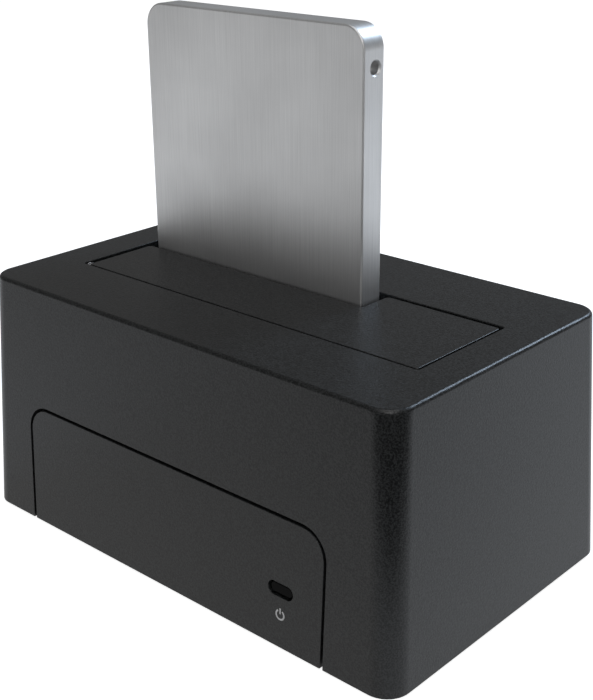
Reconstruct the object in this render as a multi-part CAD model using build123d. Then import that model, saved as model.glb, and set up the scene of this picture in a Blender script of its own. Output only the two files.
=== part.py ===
from build123d import *
import os
from math import atan, ceil, cos, degrees, hypot, pi, radians, sin

# A desktop docking station for bare drives, with a 2.5 inch drive standing in it.
# Lengths are in millimetres. The origin is the middle of the footprint, on the surface
# that the feet stand on. +X is to the right seen from the front, and -Y is the front.

# Body: a rounded box that spreads a little from its top to its bottom
top_width = 128.6
top_depth = 77.3
body_height = 63.0
wall_spread = 3.3
corner_radius = 6.0
top_edge_radius = 1.0
wall = 2.2
top_wall = 2.2
foot_stand = 1.2
cut_overrun = 3.0

# Opening in the top for the drives
opening_from_sides = 10.8
opening_shift = 0.7
opening_setback = 20.7
opening_from_back = 24.6
opening_corner = 0.8
opening_edge_radius = 0.25

# Drive that stands in the station
drive_width = 69.85
drive_thickness = 7.0
drive_length = 100.0
drive_seat = 26.4
drive_from_left = 4.2
drive_from_back = 3.2
plug_from_side = 5.2
plug_from_back = 3.5

# Flap over the opening
flap_thickness = 2.0
flap_front_gap = 0.4
flap_right_gap = 0.5
flap_left_gap = 2.0
flap_back_gap = 1.3
flap_corner = 0.8
flap_edge_radius = 0.2
flap_lower_radius = 0.35
notch_front_gap = 0.6
notch_side_gap = 0.9
notch_corner = 1.2
notch_inner_corner = 0.15
hinge_drop = 1.0
hinge_inset = 1.0

# Clearances that several pieces share
fit_gap = 0.3
print_gap = 0.1
seam_gap = 0.25

# Places that several pieces line up with
body_bottom = foot_stand
body_top = body_bottom + body_height
body_front = -top_depth / 2
opening_width = top_width - 2 * opening_from_sides
opening_depth = top_depth - opening_setback - opening_from_back
opening_left = opening_shift - opening_width / 2
opening_right = opening_shift + opening_width / 2
opening_front = body_front + opening_setback
opening_back = opening_front + opening_depth
drive_left = opening_left + drive_from_left
drive_right = drive_left + drive_width
drive_back = opening_back - drive_from_back
drive_front = drive_back - drive_thickness
drive_bottom = body_bottom + drive_seat
drive_top = drive_bottom + drive_length
lean = degrees(atan(wall_spread / body_height))


def spread_at(z):
    """How far the body's sides stand out at a height, past the size of its top."""
    return wall_spread * (body_top - z) / body_height


def slice_at(z, inset):
    """The body's outline at a height, drawn in all round by an inset."""
    grow = 2 * (spread_at(z) - inset)
    radius = corner_radius - inset
    return Plane.XY.offset(z) * RectangleRounded(top_width + grow, top_depth + grow, radius)


def body_block(inset, low, high):
    """The leaning, rounded block of the body between two heights."""
    return loft([slice_at(low, inset), slice_at(high, inset)], ruled=True)


def front_at(z):
    """Where the front face is at a height."""
    return body_front - spread_at(z)


def back_at(z):
    """Where the back face is at a height."""
    return -front_at(z)


def bar(x_span, y_span, z_span, corner=0):
    """An upright bar between pairs of limits, its four upright edges rounded."""
    (left, right), (front, back), (low, high) = x_span, y_span, z_span
    width, depth = right - left, back - front
    outline = RectangleRounded(width, depth, corner) if corner else Rectangle(width, depth)
    middle = Pos((left + right) / 2, (front + back) / 2, low)
    return extrude(middle * outline, high - low)


def disc(place, low, high, diameter):
    """An upright round post, or the tool for a round hole."""
    x, y = place
    return extrude(Pos(x, y, low) * Circle(diameter / 2), high - low)


def corners(half_x, half_y):
    """Four places, one in each quarter."""
    return [(sx * half_x, sy * half_y) for sx in (-1, 1) for sy in (-1, 1)]


def along_y(x, z, front, back, outline):
    """An outline drawn as seen from the front, pushed back from one Y to another."""
    return extrude(Plane.XZ.offset(-front) * Pos(x, z) * outline, -(back - front))


# Base plate, its standoffs, screws and feet
base_thickness = 2.0
base_rim = 3.0
base_rim_wall = 1.4
base_top = body_bottom + base_thickness
corner_post_diameter = 6.4
corner_post_from_side = 7.3
corner_post_from_front = 8.15
case_screw_diameter = 2.6
case_pilot_depth = 9.0
case_head_diameter = 5.0
case_head_height = 1.0
case_screw_length = 7.0
screw_play = 0.3
pilot_play = 0.1
foot_diameter = 10.0
foot_recess = 0.8
foot_from_side = 20.3
foot_from_front = 8.65
vent_count = 9
vent_pitch = 4.2
vent_width = 1.6
vent_length = 26.0

# Main board and what it stands on
board_thickness = 1.6
board_lift = 15.7
board_from_side = 14.3
board_from_front = 4.05
board_from_back = 1.45
board_corner = 2.0
board_post_inset = 5.5
board_bottom = body_bottom + board_lift
board_top = board_bottom + board_thickness
board_half_width = top_width / 2 - board_from_side
board_front = body_front + board_from_front
board_back = top_depth / 2 - board_from_back
board_post_diameter = 6.0
board_screw_diameter = 2.0
board_screw_length = 5.0
board_head_diameter = 4.0
board_head_height = 1.2
board_pilot_depth = 6.0

# Front panel: an arch-shaped insert in the front wall
seam_from_sides = 15.05
seam_height = 31.8
seam_shift = -0.5
seam_radius = 6.6
seam_groove = 0.8
panel_flange = 1.4
panel_lap = 2.4
panel_back_inset = wall + panel_flange
seam_width = top_width - 2 * seam_from_sides

# Power button and the switch behind it
button_from_seam = 12.15
button_height = 14.1
button_width = 6.6
button_tall = 2.7
button_play = 0.3
button_recess = 0.4
button_keeper = 1.0
button_keeper_thickness = 0.8
button_travel = 0.6
button_stem = 2.4
switch_width = 6.0
switch_tall = 3.4
switch_depth = 4.0
plunger_reach = 1.4
plunger_diameter = 1.8
button_x = seam_shift + seam_width / 2 - button_from_seam
button_z = body_bottom + button_height

# Drive bay under the opening
bay_wall = 1.6
bay_floor = 1.8
bay_seat_gap = 0.3
bay_window_play = 0.6
bay_boss_drop = 4.0
bay_ear_thickness = 2.2
bay_ear_reach = 3.3
bay_ear_radius = 2.8
bay_ear_y = (-11.0, 7.5)
bay_screw_diameter = 2.0
bay_screw_length = 5.5
bay_head_diameter = 3.8
bay_head_height = 1.2
rib_thickness = 1.2
rib_gap = 0.35
rib_drop = 13.0
rib_lead = 2.0
rib_shares = (0.12, 0.36, 0.6, 0.8, 0.93)
bay_top = body_top - top_wall
bay_floor_top = drive_bottom - bay_seat_gap
bay_floor_bottom = bay_floor_top - bay_floor

# Hinge pins, return spring and stop of the flap
pin_diameter = 1.1
pin_embed = 6.0
pin_reach = 2.0
pin_play = 0.05
spring_wire = 0.25
spring_turns = 2
spring_pitch = 0.68
spring_arm = 4.0
spring_foot = 2.2
spring_tail = 0.5
spring_bend = 0.35
spring_rest = 0.03
spring_points = 160
stop_width = 5.0
stop_thickness = 1.2
stop_lap = 1.1
stop_gap = 0.3
stop_web = 1.8
stop_share = 0.5
stop_play = 1.0
hinge_y = opening_front + flap_front_gap + hinge_inset
hinge_z = body_top - hinge_drop
flap_left = opening_left + flap_left_gap
flap_right = opening_right - flap_right_gap
flap_front = opening_front + flap_front_gap
flap_back = opening_back - flap_back_gap
flap_bottom = body_top - flap_thickness
notch_front = drive_front - notch_front_gap
notch_right = drive_right + notch_side_gap
stop_x = notch_right + stop_share * (flap_right - notch_right)
stop_top = bay_top - stop_gap
stop_end = opening_back + stop_lap

# Drive socket on the board, and the drive's own plug
tongue_thickness = 1.23
signal_width = 10.4
power_width = 20.6
tongue_split = 2.4
tongue_play = 0.5
tongue_reach = 5.4
socket_wall = 1.0
socket_corner = 0.4
socket_lead = 0.3
key_depth = 0.45
key_width = 1.2
socket_end_wall = 1.0
socket_entry = 5.6
socket_foot = 2.4
socket_foot_height = 3.0
plug_play = 0.35
plug_guide = 1.5
plug_recess = 6.0
plug_root = 1.6
contact_pitch = 1.27
contact_width = 0.7
contact_thickness = 0.15
contact_film = 0.05
signal_contacts = 7
power_contacts = 15
blade_width = signal_width + tongue_split + power_width
blade_left = drive_left + plug_from_side
blade_y = drive_back - plug_from_back
socket_top = drive_bottom + socket_entry
nose_left = blade_left - tongue_play - socket_end_wall
nose_right = blade_left + blade_width + tongue_play + socket_end_wall
nose_half = tongue_thickness / 2 + tongue_play + socket_wall
slot_bottom = drive_bottom + plug_recess - tongue_reach - tongue_play

# Connectors at the back
usb_width = 12.0
usb_low_height = 7.8
usb_top_width = 8.6
usb_top_height = 3.1
usb_depth = 17.5
usb_wall = 0.5
usb_block_depth = 3.0
usb_tongue_height = 3.0
usb_tongue_width = 5.6
usb_tongue_setback = 2.4
usb_upper_height = 0.9
usb_upper_gap = 0.5
usb_contact_pitch = 2.0
usb_contact_width = 0.6
port_play = 0.35
port_inset = 0.9
jack_from_board_end = 20.0
port_pitch = 22.0
jack_x = board_half_width - jack_from_board_end
usb_x = jack_x - port_pitch
jack_width = 9.0
jack_height = 11.0
jack_depth = 13.5
jack_centre = 6.4
jack_bore = 6.3
jack_bore_depth = 9.5
jack_pin = 2.0
jack_nose = 7.4
jack_nose_reach = 1.4

# Parts soldered to the board
chip_size = 9.0
chip_height = 1.0
chip_corner = 0.5
memory_length = 5.0
memory_width = 4.0
memory_height = 1.5
crystal_length = 10.5
crystal_width = 4.0
crystal_height = 3.4
coil_size = 7.0
coil_height = 3.0
coil_corner = 2.0
can_diameter = 6.3
can_height = 5.6
can_base = 6.6
can_base_height = 0.8
led_size = (1.6, 0.8, 0.6)
bridge_place_share = (-0.52, -0.37)
memory_place_share = (-0.24, -0.43)
crystal_place_share = (-0.8, -0.43)
coil_place_shares = ((0.52, -0.2), (0.76, -0.2))
can_place_shares = ((0.8, 0.24), (-0.72, 0.63), (-0.52, 0.63))

# Drive case
drive_top_radius = 5.5
drive_end_radius = 1.5
drive_edge = 0.5
drive_skin = 1.0
drive_wall = 1.6
drive_block = 7.0
cover_boss = 3.6
drive_cover = 0.9
drive_board_thickness = 1.0
drive_board_length = 52.0
drive_chip = 11.0
memory_stack_width = 13.0
drive_chip_height = 1.1
drive_chip_rows = 2
side_hole_diameter = 3.0
side_hole_depth = 2.4
side_hole_low = 14.0
side_hole_high = 90.6
side_hole_from_back = 3.0
side_hole_chamfer = 0.4
bottom_hole_inset = 4.07
cover_screw_diameter = 1.6
cover_screw_head = 2.8
cover_screw_head_height = 0.5
cover_screw_length = 3.0
cover_screw_inset = 3.0
cover_screw_low = 23.0
cover_screw_high = 4.6


def arch_outline(half_groove):
    """The front seam's arch, moved out from its middle line by half a groove."""
    width = seam_width + 2 * half_groove
    height = seam_height + half_groove
    return RectangleRounded(width, 2 * height, seam_radius + half_groove)


def arch_block(half_groove):
    """The arch pushed through the front wall. Its lower half ends in free air."""
    front = front_at(body_bottom) - cut_overrun
    return along_y(seam_shift, body_bottom, front, opening_front, arch_outline(half_groove))


def pin_along_x(left, right, radius):
    """A round bar on the flap's hinge line."""
    place = Plane.YZ.offset(left) * Pos(hinge_y, hinge_z)
    return extrude(place * Circle(radius), right - left)


def case_screw_places():
    return corners(top_width / 2 - corner_post_from_side, top_depth / 2 - corner_post_from_front)


def foot_places():
    return corners(top_width / 2 - foot_from_side, top_depth / 2 - foot_from_front)


def board_screw_places():
    reach = board_half_width - board_post_inset
    rows = (board_front + board_post_inset, board_back - board_post_inset)
    return [(sx * reach, y) for sx in (-1, 1) for y in rows]


def on_board(share):
    """A place on the board, from shares of its half width and half depth."""
    middle, half_depth = (board_front + board_back) / 2, (board_back - board_front) / 2
    return share[0] * board_half_width, middle + share[1] * half_depth


def bay_screw_places():
    left = opening_left - bay_wall - bay_ear_reach
    right = opening_right + bay_wall + bay_ear_reach
    return [(x, y) for x in (left, right) for y in bay_ear_y]


def pan_screw(place, seat, direction, thread, length, head, head_height):
    """A pan head screw: its head on the seat, its thread pointing up or down."""
    x, y = place
    points = [
        (0, -head_height),
        (head / 2 - head_height / 2, -head_height),
        (head / 2, -head_height / 2),
        (head / 2, 0),
        (thread / 2, 0),
        (thread / 2, length - thread / 2),
        (thread / 4, length),
        (0, length),
    ]
    profile = Plane.XZ * make_face(Polyline(*points, close=True))
    screw = revolve(profile, Axis.Z)
    if direction < 0:
        screw = Rot(180, 0, 0) * screw
    return Pos(x, y, seat) * screw


def usb_outline(grow):
    """The stepped outline of the square data port, standing on the board."""
    high = usb_low_height + usb_top_height
    low_part = Pos(0, usb_low_height / 2) * Rectangle(usb_width + 2 * grow, usb_low_height + 2 * grow)
    high_part = Pos(0, high / 2) * Rectangle(usb_top_width + 2 * grow, high + 2 * grow)
    return low_part + high_part


def usb_face():
    return back_at(board_top + usb_low_height) - port_inset


def jack_face():
    return back_at(board_top + jack_centre) - wall - fit_gap


def upper_housing():
    """The moulded shell: outer walls, top, posts, bosses and the flap's saddles."""
    block = body_block(0, body_bottom, body_top)
    block = fillet(block.edges().group_by(Axis.Z)[-1], top_edge_radius)
    shell = block - body_block(wall, body_bottom - cut_overrun, body_top - top_wall)
    for place in case_screw_places():
        post = disc(place, base_top, body_top - top_wall, corner_post_diameter)
        shell += post
    for place in bay_screw_places():
        shell += disc(place, bay_top - bay_boss_drop, bay_top, 2 * bay_ear_radius)
    shell -= bar(
        (opening_left, opening_right),
        (opening_front, opening_back),
        (bay_top - cut_overrun, body_top + cut_overrun),
        opening_corner,
    )
    rim = shell.edges().group_by(Axis.Z)[-1].filter_by(
        lambda edge: abs(edge.center().X - opening_shift) < opening_width / 2 + opening_corner
        and opening_front - opening_corner < edge.center().Y < opening_back + opening_corner
    )
    shell = fillet(rim, opening_edge_radius)
    shell -= arch_block(seam_groove / 2)
    for place in case_screw_places():
        shell -= disc(place, base_top - cut_overrun, base_top + case_pilot_depth,
                      case_screw_diameter + pilot_play)
    for place in bay_screw_places():
        hole_end = bay_top - bay_boss_drop + bay_screw_length - bay_ear_thickness
        shell -= disc(place, bay_top - bay_boss_drop - cut_overrun, hole_end, bay_screw_diameter + pilot_play)
    half = pin_diameter / 2 + pin_play
    for left in (opening_left - pin_reach, opening_right - pin_reach):
        right = left + 2 * pin_reach
        shell -= pin_along_x(left, right, half)
        shell -= bar((left, right), (hinge_y - half, hinge_y + half), (bay_top - cut_overrun, hinge_z))
    back = back_at(body_bottom) + cut_overrun
    port = along_y(usb_x, board_top, opening_back, back, usb_outline(port_play))
    nose = Circle(jack_nose / 2 + port_play)
    port += along_y(jack_x, board_top + jack_centre, opening_back, back, nose)
    return shell - port


def front_panel():
    """The arch-shaped insert, with a flange that laps behind the wall round it."""
    skin = body_block(0, body_bottom, body_top) - body_block(wall, body_bottom - cut_overrun, body_top)
    skin &= arch_block(-seam_groove / 2)
    low = base_top + base_rim + fit_gap
    back_layer = body_block(wall, low, body_top) - body_block(panel_back_inset, low - cut_overrun, body_top)
    panel = skin + (back_layer & arch_block(seam_groove / 2 + panel_lap))
    hole = SlotOverall(button_width + 2 * button_play, button_tall + 2 * button_play)
    front = front_at(body_bottom) - cut_overrun
    return panel - along_y(button_x, button_z, front, opening_front, hole)


def power_button():
    """The pill-shaped cap, its keeper behind the panel and its stem to the switch."""
    pill = SlotOverall(button_width, button_tall)
    front = front_at(body_bottom) - cut_overrun
    keeper_front = front_at(button_z) + panel_back_inset + button_travel / 2
    cap = along_y(button_x, button_z, front, keeper_front, pill)
    cap &= body_block(button_recess, body_bottom, body_top)
    keeper = SlotOverall(button_width + 2 * button_keeper, button_tall + 2 * button_keeper)
    keeper_back = keeper_front + button_keeper_thickness
    button = cap + along_y(button_x, button_z, keeper_front, keeper_back, keeper)
    face = [f for f in button.faces() if abs(f.normal_at().Y + cos(radians(lean))) < 1e-3]
    rim = min(face, key=lambda f: f.center().Y).edges()
    button = fillet(rim, button_recess)
    stem = Circle(button_stem / 2)
    return button + along_y(button_x, button_z, keeper_back, plunger_tip(), stem)


def switch_face():
    """Where the front of the switch's case is."""
    return board_front


def plunger_tip():
    return switch_face() - plunger_reach


def switch_case():
    """The push switch under the board's front edge."""
    z = button_z
    case = bar(
        (button_x - switch_width / 2, button_x + switch_width / 2),
        (switch_face(), switch_face() + switch_depth),
        (board_bottom - switch_tall, board_bottom),
    )
    bore = Circle(plunger_diameter / 2 + print_gap)
    depth = plunger_reach + button_travel
    return case - along_y(button_x, z, switch_face() - cut_overrun, switch_face() + depth, bore)


def switch_plunger():
    """The switch's own plunger, which the button's stem touches."""
    back = switch_face() + plunger_reach - fit_gap / 2
    rod = along_y(button_x, button_z, plunger_tip(), back, Circle(plunger_diameter / 2))
    return rod


def status_led():
    """The small lamp beside the switch that lights the button."""
    length, width, height = led_size
    x = button_x - switch_width / 2 - length
    lamp = bar((x - length / 2, x + length / 2), (board_front, board_front + width),
               (board_bottom - height, board_bottom))
    return lamp


def base_plate():
    """The bottom plate: rim, board posts, vents, screw seats and foot recesses."""
    inset = wall + seam_gap
    plate = body_block(inset, body_bottom, base_top)
    rim = body_block(inset, base_top, base_top + base_rim)
    rim -= body_block(inset + base_rim_wall, base_top, base_top + base_rim)
    plate += rim
    for place in board_screw_places():
        plate += disc(place, base_top, board_bottom, board_post_diameter)
    for place in case_screw_places():
        x, y = place
        plate -= disc(place, base_top, base_top + base_rim + cut_overrun, corner_post_diameter + fit_gap)
        plate -= disc(place, body_bottom - cut_overrun, base_top + cut_overrun,
                      case_screw_diameter + screw_play)
        plate -= disc(place, body_bottom - cut_overrun, body_bottom + case_head_height,
                      case_head_diameter + screw_play)
    for place in board_screw_places():
        plate -= disc(place, board_bottom - board_pilot_depth, board_bottom + cut_overrun,
                      board_screw_diameter + pilot_play)
    for place in foot_places():
        plate -= disc(place, body_bottom - cut_overrun, body_bottom + foot_recess, foot_diameter)
    for i in range(vent_count):
        x = (i - (vent_count - 1) / 2) * vent_pitch
        vent = Pos(x, 0, body_bottom - cut_overrun) * Rot(0, 0, 90) * SlotOverall(vent_length, vent_width)
        plate -= extrude(vent, base_thickness + 2 * cut_overrun)
    return plate


def base_screws():
    """Four screws that hold the base plate to the shell's corner posts."""
    seat = body_bottom + case_head_height
    return [
        pan_screw(p, seat, 1, case_screw_diameter, case_screw_length, case_head_diameter, case_head_height)
        for p in case_screw_places()
    ]


def rubber_feet():
    """Four soft feet, each with a rounded lower edge, glued into their recesses."""
    feet = []
    for place in foot_places():
        foot = disc(place, 0, body_bottom + foot_recess, foot_diameter)
        lower = foot.edges().group_by(Axis.Z)[0]
        feet.append(fillet(lower, foot_recess / 2))
    return feet


def drive_bay():
    """The well under the opening that guides a drive down on to the socket."""
    x_span = (opening_left - bay_wall, opening_right + bay_wall)
    y_span = (opening_front - bay_wall, opening_back + bay_wall)
    well = bar(x_span, y_span, (bay_floor_bottom, bay_top), opening_corner + bay_wall)
    well -= bar((opening_left, opening_right), (opening_front, opening_back),
                (bay_floor_top, bay_top + cut_overrun), opening_corner)
    rib_front = drive_back + rib_gap
    rib_top = body_top - rib_drop
    for share in rib_shares:
        x = opening_left + share * opening_width
        points = [
            (rib_front, bay_floor_top),
            (opening_back, bay_floor_top),
            (opening_back, rib_top),
            (rib_front, rib_top - rib_lead),
        ]
        side = Plane.YZ.offset(x - rib_thickness / 2) * make_face(Polyline(*points, close=True))
        well += extrude(side, rib_thickness)
    ear_low = bay_top - bay_boss_drop - bay_ear_thickness
    ear_high = bay_top - bay_boss_drop
    for x, y in bay_screw_places():
        wall_x = x_span[0] if x < 0 else x_span[1]
        middle = (x + wall_x) / 2
        tab = Rectangle(abs(x - wall_x) + bay_wall, 2 * bay_ear_radius)
        tab += Pos(x - middle, 0) * Circle(bay_ear_radius)
        well += extrude(Pos(middle, y, ear_low) * tab, bay_ear_thickness) - bar(
            (opening_left, opening_right), (opening_front, opening_back), (ear_low, ear_high))
        well -= disc((x, y), ear_low - cut_overrun, ear_high + cut_overrun, bay_screw_diameter + screw_play)
    well -= bar(
        (nose_left - bay_window_play, nose_right + bay_window_play),
        (blade_y - nose_half - bay_window_play, blade_y + nose_half + bay_window_play),
        (bay_floor_bottom - cut_overrun, bay_floor_top + cut_overrun),
        bay_window_play,
    )
    reach = stop_end - hinge_y
    half = stop_width / 2 + stop_play
    drop = reach * sin(pi / 6)
    well -= bar((stop_x - half, stop_x + half), (opening_back - cut_overrun, opening_back + cut_overrun),
                (bay_top - drop, bay_top + cut_overrun))
    low = hinge_z - reach - stop_play
    high = hinge_z - (flap_back - stop_web - hinge_y) + 2 * stop_play
    well -= bar((stop_x - half, stop_x + half), (opening_front - cut_overrun, opening_front + cut_overrun),
                (low, high))
    for inner, outward in ((opening_left, -1), (opening_right, 1)):
        ends = sorted((inner, inner + outward * bay_wall))
        well += bar(ends, (hinge_y - pin_diameter / 2, hinge_y + pin_diameter / 2),
                    (bay_top, hinge_z - pin_diameter / 2 - pin_play))
    return well


def bay_screws():
    """Four screws up through the bay's ears."""
    seat = bay_top - bay_boss_drop - bay_ear_thickness
    return [
        pan_screw(p, seat, 1, bay_screw_diameter, bay_screw_length, bay_head_diameter, bay_head_height)
        for p in bay_screw_places()
    ]


def flap():
    """The L-shaped lid: a plate notched for a thin drive, pin holes and a stop."""
    plate = bar((flap_left, flap_right), (flap_front, flap_back), (flap_bottom, body_top), flap_corner)
    plate -= bar(
        (flap_left - cut_overrun, notch_right),
        (notch_front, flap_back + cut_overrun),
        (flap_bottom - cut_overrun, body_top + cut_overrun),
    )
    upright = plate.edges().filter_by(Axis.Z)
    outer = upright.sort_by_distance((flap_left, notch_front, body_top))[0]
    point = upright.sort_by_distance((notch_right, flap_back, body_top))[0]
    plate = fillet([outer, point], notch_corner)
    inner = plate.edges().filter_by(Axis.Z).sort_by_distance((notch_right, notch_front, body_top))[0]
    plate = fillet(inner, notch_inner_corner)
    plate = fillet(plate.edges().group_by(Axis.Z)[-1], flap_edge_radius)
    lower_front = plate.edges().group_by(Axis.Z)[0].filter_by(Axis.X).sort_by(Axis.Y)[0]
    plate = fillet(lower_front, flap_lower_radius)
    web_front = flap_back - stop_web
    x_span = (stop_x - stop_width / 2, stop_x + stop_width / 2)
    plate += bar(x_span, (web_front, flap_back), (stop_top - stop_thickness, flap_bottom))
    plate += bar(x_span, (web_front, stop_end), (stop_top - stop_thickness, stop_top))
    plate -= pin_along_x(flap_left - cut_overrun, flap_left + pin_embed, pin_diameter / 2)
    plate -= pin_along_x(flap_right - pin_embed, flap_right + cut_overrun, pin_diameter / 2)
    return plate


def flap_pins():
    """Two steel pins pressed into the flap's ends, which turn in the shell."""
    left = pin_along_x(opening_left - pin_reach + print_gap, flap_left + pin_embed, pin_diameter / 2)
    right = pin_along_x(flap_right - pin_embed, opening_right + pin_reach - print_gap, pin_diameter / 2)
    return [chamfer(pin.edges().filter_by(GeomType.CIRCLE), print_gap) for pin in (left, right)]


def spring_route():
    """The spring wire's middle line: a tail, open half turns, an arm and a foot."""
    radius = pin_diameter / 2 + print_gap + spring_wire / 2
    side = hypot(radius, spring_pitch / 4)
    start = opening_left + fit_gap + spring_wire / 2
    edges = [Line((start, hinge_y - spring_tail, hinge_z - radius), (start, hinge_y, hinge_z - radius))]
    for i in range(2 * spring_turns):
        x = start + i * spring_pitch / 2
        up = 1 if i % 2 else -1
        edges.append(ThreePointArc(
            (x, hinge_y, hinge_z + up * radius),
            (x + spring_pitch / 4, hinge_y - up * side, hinge_z),
            (x + spring_pitch / 2, hinge_y, hinge_z - up * radius),
        ))
    x = start + spring_turns * spring_pitch
    under = flap_bottom - spring_wire / 2 - spring_rest
    arm = FilletPolyline(
        (x, hinge_y, hinge_z - radius),
        (x, hinge_y + spring_arm / 4, hinge_z - radius),
        (x, hinge_y + spring_arm, under),
        (x + spring_foot, hinge_y + spring_arm, under),
        radius=spring_bend,
    )
    return Wire(edges + list(arm.edges()))


def spring_least_gap(route):
    """The least clear distance between points of the wire more than half a turn apart."""
    count = spring_points
    points = [route @ (i / count) for i in range(count + 1)]
    step = route.length / count
    apart = ceil(pi * (pin_diameter / 2 + print_gap + spring_wire / 2) / step)
    pairs = [(p - q).length for i, p in enumerate(points) for q in points[i + apart:]]
    return min(pairs) - spring_wire


def flap_spring():
    """The torsion spring round the left pin, which lifts the flap shut."""
    route = spring_route()
    print("least gap between the spring's turns", round(spring_least_gap(route), 3))
    section = Plane(route @ 0, z_dir=route % 0) * Circle(spring_wire / 2)
    return sweep(section, path=route)


def main_board():
    """The circuit board that carries the connectors."""
    outline = bar((-board_half_width, board_half_width), (board_front, board_back),
                  (board_bottom, board_top), board_corner)
    for place in board_screw_places():
        outline -= disc(place, board_bottom - cut_overrun, board_top + cut_overrun,
                        board_screw_diameter + screw_play)
    return outline


def board_screws():
    """Four screws through the board into the base plate's posts."""
    return [
        pan_screw(p, board_top, -1, board_screw_diameter, board_screw_length, board_head_diameter,
                  board_head_height)
        for p in board_screw_places()
    ]


def blades(grow, low, high):
    """The drive plug's two flat blades, each with the small foot that keys it."""
    left = blade_left
    made = []
    for width in (power_width, signal_width):
        y_span = (blade_y - tongue_thickness / 2 - grow, blade_y + tongue_thickness / 2 + grow)
        made.append(bar((left - grow, left + width + grow), y_span, (low, high)))
        key_back = blade_y + tongue_thickness / 2 + key_depth + grow
        key = (left + width - key_width - grow, left + width + grow)
        made.append(bar(key, (blade_y, key_back), (low, high)))
        left += width + tongue_split
    return made


def contact_places():
    """The middle of each contact, power first from the left."""
    left = blade_left
    places = []
    for width, count in ((power_width, power_contacts), (signal_width, signal_contacts)):
        first = left + (width - key_width) / 2 - (count - 1) * contact_pitch / 2
        places += [first + i * contact_pitch for i in range(count)]
        left += width + tongue_split
    return places


def sata_socket():
    """The tall socket on the board that a drive's plug comes down on."""
    nose = bar((nose_left, nose_right), (blade_y - nose_half, blade_y + nose_half),
               (board_top, socket_top), socket_corner)
    nose = chamfer(nose.edges().group_by(Axis.Z)[-1], socket_lead)
    foot = bar((nose_left - socket_foot, nose_right + socket_foot),
               (blade_y - nose_half - socket_foot / 2, blade_y + nose_half + socket_foot / 2),
               (board_top, board_top + socket_foot_height), socket_corner)
    socket = nose + foot
    for blade in blades(tongue_play, slot_bottom, socket_top + cut_overrun):
        socket -= blade
    return socket


def sata_contacts():
    """The socket's spring strips, one for each contact, against its slots' front wall."""
    front = blade_y - tongue_thickness / 2 - tongue_play
    return [
        bar((x - contact_width / 2, x + contact_width / 2), (front, front + contact_thickness),
            (slot_bottom, socket_top - socket_lead))
        for x in contact_places()
    ]


def drive_outline(inset):
    """The drive seen from the front: large corners at the top, small at the plug's end."""
    width, height = drive_width - 2 * inset, drive_length - 2 * inset
    outline = Pos((drive_left + drive_right) / 2, (drive_bottom + drive_top) / 2) * Rectangle(width, height)
    high = outline.vertices().group_by(Axis.Y)[-1]
    outline = fillet(high, drive_top_radius - inset)
    low = outline.vertices().group_by(Axis.Y)[0]
    return fillet(low, max(drive_end_radius - inset, drive_end_radius / 4))


def drive_slab(inset, front, back):
    return extrude(Plane.XZ.offset(-front) * drive_outline(inset), -(back - front))


def side_places():
    """The drive's four threaded blocks: the wall's X, the direction inwards and the height."""
    heights = (drive_bottom + side_hole_low, drive_bottom + side_hole_high)
    return [(x, inward, z) for x, inward in ((drive_left, 1), (drive_right, -1)) for z in heights]


def cover_screw_places():
    rows = (
        (drive_bottom + cover_screw_low, cover_screw_inset),
        (drive_top - cover_screw_high, cover_screw_high),
    )
    return [(x, z) for z, inset in rows for x in (drive_left + inset, drive_right - inset)]


def plug_span():
    return (nose_left - plug_play - plug_guide, nose_right + plug_play + plug_guide)


def drive_case():
    """The drive's aluminium tray: front skin, side walls, threaded blocks and plug window."""
    cover_front = drive_back - drive_cover
    tray = drive_slab(0, drive_front, cover_front)
    front_rim = tray.faces().sort_by(Axis.Y)[0].edges()
    tray = fillet(front_rim, drive_edge)
    tray -= drive_slab(drive_wall, drive_front + drive_skin, drive_back)
    for x, inward, z in side_places():
        span = sorted((x + inward * drive_wall / 2, x + inward * drive_block))
        tray += bar(span, (drive_front + drive_skin / 2, cover_front),
                    (z - drive_block / 2, z + drive_block / 2))
    for x, z in cover_screw_places():
        tray += along_y(x, z, drive_front + drive_skin / 2, cover_front, Circle(cover_boss / 2))
    for x, inward, z in side_places():
        y = drive_back - side_hole_from_back
        outward = -inward
        plane = Plane((x, y, z), z_dir=(outward, 0, 0))
        tray -= extrude(plane * Circle(side_hole_diameter / 2), -side_hole_depth)
        mouth = Circle(side_hole_diameter / 2 + side_hole_chamfer)
        tray -= extrude(plane * mouth, -side_hole_chamfer, taper=45)
        tray -= along_y(x + inward * bottom_hole_inset, z, drive_back - side_hole_from_back,
                        drive_back + cut_overrun, Circle(side_hole_diameter / 2))
    for x, z in cover_screw_places():
        tray -= along_y(x, z, cover_front - cover_screw_length, drive_back, Circle(cover_screw_diameter / 2))
    window = bar(plug_span(), (drive_front + drive_skin, drive_back),
                 (drive_bottom - cut_overrun, drive_bottom + drive_wall + cut_overrun))
    return tray - window


def drive_lid():
    """The plate that closes the drive's back, drilled for its screws and threads."""
    cover_front = drive_back - drive_cover
    lid = drive_slab(0, cover_front, drive_back)
    back_rim = lid.faces().sort_by(Axis.Y)[-1].edges()
    lid = chamfer(back_rim, drive_edge / 2)
    for x, inward, z in side_places():
        lid -= along_y(x + inward * bottom_hole_inset, z, cover_front - cut_overrun,
                       drive_back + cut_overrun, Circle(side_hole_diameter / 2))
    for x, z in cover_screw_places():
        lid -= along_y(x, z, cover_front - cut_overrun, drive_back + cut_overrun,
                       Circle(cover_screw_diameter / 2 + print_gap))
        lid -= along_y(x, z, drive_back - cover_screw_head_height, drive_back + cut_overrun,
                       Circle(cover_screw_head / 2 + print_gap))
    return lid


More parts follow.
